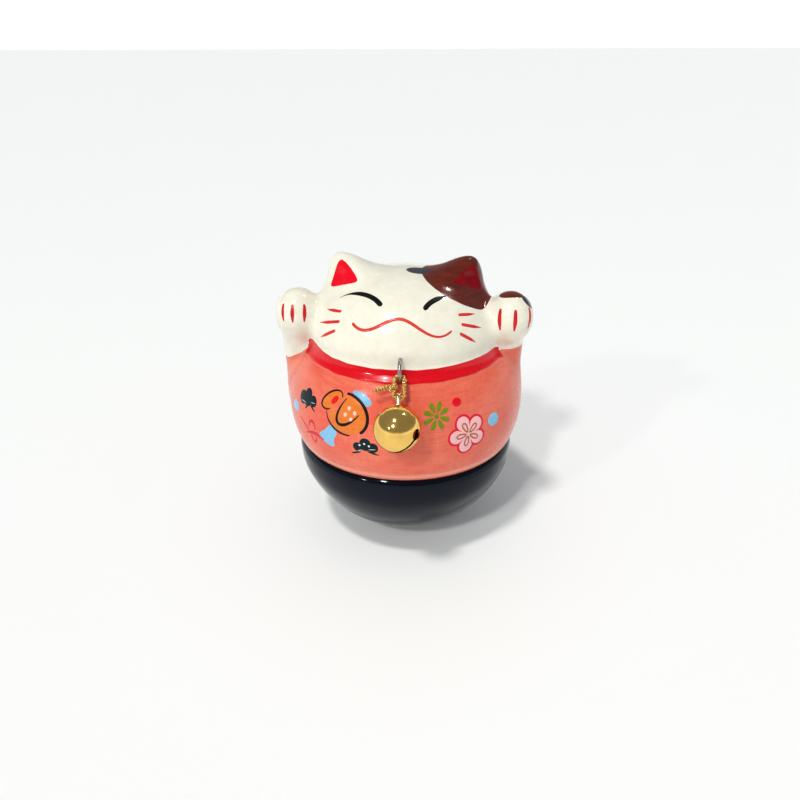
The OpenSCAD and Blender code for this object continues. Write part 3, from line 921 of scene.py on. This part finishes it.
addPiece("blossom_edge", *patch(onBelly, lobes(blossom[0], blossomDiscs, 0.62, 1.9), 0.05, 9, 160,
                                blossom[0]),
         enamel("roseEdgeEnamel", (0.76, 0.012, 0.045), (0.64, 0.006, 0.035)), slot="white_glaze")
addPiece("blossom_petals", *patch(onBelly, lobes(blossom[0], blossomDiscs, 0, 1.9), 0.12, 9, 160,
                                  blossom[0]),
         enamel("petalPinkEnamel", (0.90, 0.56, 0.56), (0.84, 0.45, 0.47)), slot="white_glaze")
stamens = [stroke(onBelly, petal(blossom[0], 1.75, 2.4, 1.3, n * 360 / blossom[1] + blossom[2])[::2], 0.5,
                  closed=True, lift=0.18)
           for n in range(blossom[1])]
addPiece("blossom_stamens", *together(stamens), enamel("ochreEnamel", (0.48, 0.14, 0.05), (0.38, 0.09,
    0.03)), slot="white_glaze")
print("motifs painted")


# the gold cord: two strands laid together, one loop with a knot and a frayed end
hang = {"eye": (0.3, -25.0, 53.7), "lean": 47.0, "loop": (1.1, 2.35, 5.42), "strand": (0.32, 0.28),
        "lay": 1.6}


def onCord(local):
    # from the cord's own axes, -Z towards the bell, to the cat's
    c, s = math.cos(math.radians(hang["lean"])), math.sin(math.radians(hang["lean"]))
    x, y, z = np.asarray(local, float).T
    return np.stack([x, c * y + s * z, c * z - s * y], -1) + hang["eye"]


def strand(path, radius, offset=0.0, lay=1.5, phase=0.0, closed=False, sides=8, step=0.07):
    # a round strand carried along a path, winding round it once in each lay at a distance offset
    length = np.linalg.norm(np.diff(smoothPath(path, 200, closed), axis=0), axis=1).sum()
    count = int(length / step)
    line = smoothPath(path, count, closed)
    along = np.roll(line, -1, 0) - np.roll(line, 1, 0) if closed else np.gradient(line, axis=0)
    along /= np.linalg.norm(along, axis=1, keepdims=True)
    side = np.cross(along, (0.05, 1.0, 0.1))
    side /= np.linalg.norm(side, axis=1, keepdims=True)
    over = np.cross(along, side)
    winds = round(length / lay) if closed else length / lay
    angle = np.linspace(0, 2 * np.pi * winds, count, endpoint=not closed) + phase
    centre = line + offset * (np.cos(angle)[:, None] * side + np.sin(angle)[:, None] * over)
    turn = np.linspace(0, 2 * np.pi, sides, endpoint=False)
    ring = np.cos(turn)[None, :, None] * side[:, None] + np.sin(turn)[None, :, None] * over[:, None]
    points = (centre[:, None] + radius * ring).reshape(-1, 3)
    if closed:
        faces = gridFaces(count + 1, sides)
        return points, list(np.where(faces >= count * sides, faces - count * sides, faces))
    last = (count - 1) * sides
    return points, list(gridFaces(count, sides)) + [np.arange(sides)[::-1], last + np.arange(sides)]


def layCord():
    half, top, low = hang["loop"]
    t = np.linspace(0, np.pi, 9)
    upper = np.stack([half * np.cos(t), 0 * t, half * np.sin(t) - top], -1)
    lower = np.stack([-half * np.cos(t), 0 * t, -half * np.sin(t) - low], -1)
    loop = np.concatenate([upper, [(-half, 0, -(top + low) / 2)], lower, [(half, 0, -(top + low) / 2)]])
    parts = [strand(onCord(loop), *hang["strand"], hang["lay"], phase, True) for phase in (0, np.pi)]
    middle = -(top + low) / 2 - 0.2
    # two turns of the knot round the loop's left side
    for level, wide in ((0.28, 0.62), (-0.22, 0.66)):
        a = np.linspace(0, 2 * np.pi, 10, endpoint=False)
        turnLine = np.stack([-half - 0.3 + wide * np.cos(a), -0.3 + wide * np.sin(a),
                             middle + level + 0.25 * np.cos(a)], -1)
        parts += [strand(onCord(turnLine), 0.25, 0.2, 1.1, phase, True) for phase in (0, np.pi)]
    tail = [(-half - 0.4, -0.5, middle), (-half - 1.3, -0.5, middle + 0.1),
            (-half - 2.5, -0.2, middle - 0.15), (-half - 3.4, 0.0, middle - 0.45), (-half - 4.2, 0.1,
        middle - 0.7)]
    parts += [strand(onCord(tail), 0.32, 0.27, 1.4, phase) for phase in (0, np.pi)]
    source = np.random.default_rng(7)
    # loosened threads at the cut end
    for n in range(9):
        start = np.array(tail[-1]) + source.uniform(-0.25, 0.25, 3)
        tip = start + (-source.uniform(0.3, 0.7), source.uniform(-0.2, 0.2), source.uniform(-0.3, 0.35))
        bend = (start + tip) / 2 + source.uniform(-0.08, 0.08, 3)
        parts.append(strand(onCord([start, bend, tip]), 0.05, 0, 1, 0, False, 6))
    piece = addPiece("twisted_gold_cord", *together(parts), goldThread(), "cord", "gold_cord")
    # across: round the strand, up: along it
    layer = piece.data.uv_layers.new(name="strand")
    corners = np.zeros(len(piece.data.loops), int)
    piece.data.loops.foreach_get("vertex_index", corners)
    along = (corners // 8) * 0.07
    layer.data.foreach_set("uv", np.stack([(corners % 8) / 8, along], -1).astype(np.float32).ravel())
    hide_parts("gold_cord")


layCord()
print("cord laid")


# the pieces that keep their plain shape get their finishes
finishes = {
    "bell_crown": metal("giltBrass", (0.92, 0.62, 0.19), (0.62, 0.34, 0.07), 0.09, 1.0, 0.45),
    "bell_shank": metal("giltWire", (0.95, 0.72, 0.36), (0.62, 0.36, 0.10), 0.12, 1.6, 0.4),
    "bell_pellet": metal("pelletSteel", (0.66, 0.66, 0.68), (0.34, 0.33, 0.33), 0.2, 2.0, 0.5),
    "wire_eye": metal("greyWire", (0.40, 0.385, 0.38), (0.16, 0.15, 0.15), 0.28, 2.0, 0.8),
    "seam_cement": gritty("seamCement", (0.70, 0.68, 0.60), (0.50, 0.47, 0.40), 0.7, 900.0, 0.0001),
    "eye_cement": gritty("eyeCement", (0.72, 0.70, 0.62), (0.52, 0.49, 0.42), 0.7, 1100.0, 0.0001),
    "plaster_bed": gritty("castPlaster", (0.82, 0.80, 0.75), (0.64, 0.62, 0.56), 0.8, 700.0, 0.0002),
    "iron_weight": gritty("castIron", (0.16, 0.15, 0.145), (0.07, 0.055, 0.05), 0.6, 600.0, 0.0003, 0.8),
}
finishes["bell_cup"] = finishes["bell_crown"]
for node, finish in finishes.items():
    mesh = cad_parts[node].data
    mesh.materials.clear()
    mesh.materials.append(finish)
print("plain pieces finished")


# floor, light and camera
studio = {
    "floor": 12.0,                                  # metres each way
    # towards each lamp, strength, how wide it looks in degrees
    "lamps": [((-0.28, -0.70, 0.66), 0.78, 5.0), ((-0.20, -0.36, 0.91), 1.05, 6.0),
              ((-0.58, -0.69, 0.44), 0.22, 3.0), ((0.39, 0.39, 0.83), 0.30, 3.0)],
    "sky": ((0.26, 0.27, 0.285), (0.96, 0.97, 0.97)),
}


def layFloor():
    material, tree, shader, where = newFinish("paleBoard", Roughness=0.6)
    cloud = place(tree, "TexNoise", {"Vector": where, "Scale": 6.0, "Detail": 4.0}).outputs["Fac"]
    fibre = place(tree, "TexNoise", {"Vector": where, "Scale": 900.0, "Detail": 3.0}).outputs["Fac"]
    tree.links.new(blendColour(tree, cloud, (0.955, 0.975, 0.975), (0.975, 0.985, 0.975)),
                   shader.inputs["Base Color"])
    bumpInto(tree, shader, fibre, 0.08, 0.0001)
    half = studio["floor"] / mm
    floor = bpy.data.meshes.new("floor")
    floor.from_pydata([(x * half * mm, y * half * mm, 0) for x, y in ((-1, -1), (1, -1), (1, 1), (-1, 1))],
                      [], [(0, 1, 2, 3)])
    floor.materials.append(material)
    made = bpy.data.objects.new("floor", floor)
    bpy.context.scene.collection.objects.link(made)


def lightRoom():
    world = bpy.data.worlds.new("room")
    bpy.context.scene.world = world
    world.use_nodes = True
    tree = world.node_tree
    up = place(tree, "SeparateXYZ", {"Vector": place(tree, "TexCoord").outputs["Generated"]}).outputs["Z"]
    dim, bright = studio["sky"]
    colour = blendColour(tree, ramp(tree, up, 0.2, 0.06), dim, bright)
    tree.links.new(colour, tree.nodes["Background"].inputs["Color"])
    tree.nodes["Background"].inputs["Strength"].default_value = 1.0
    for number, (spot, strength, width) in enumerate(studio["lamps"]):
        data = bpy.data.lights.new(f"lamp_{number}", "SUN")
        data.angle, data.energy = math.radians(width), strength
        data.color = (1.0, 0.985, 0.95)
        data.use_shadow = spot[1] < 0          # the lamp behind only gives highlights
        light = bpy.data.objects.new(f"lamp_{number}", data)
        light.location = spot
        light.rotation_euler = Vector(spot).to_track_quat("Z", "Y").to_euler()
        bpy.context.scene.collection.objects.link(light)


def standCamera():
    data = bpy.data.cameras.new("camera")
    data.lens, data.sensor_width = 31.8, 36
    data.clip_start, data.clip_end = 0.005, 50
    camera = bpy.data.objects.new("camera", data)
    camera.location = (0.0099, -0.1663, 0.1187)
    # down by 27 degrees, hardly rolled
    camera.rotation_euler = [math.radians(turn) for turn in (63.0, 0.2, 3.8)]
    bpy.context.scene.collection.objects.link(camera)
    bpy.context.scene.camera = camera


layFloor()
lightRoom()
standCamera()
bpy.context.scene.view_settings.view_transform = "Standard"
bpy.context.scene.view_settings.look = "Medium High Contrast"
print("room lit")
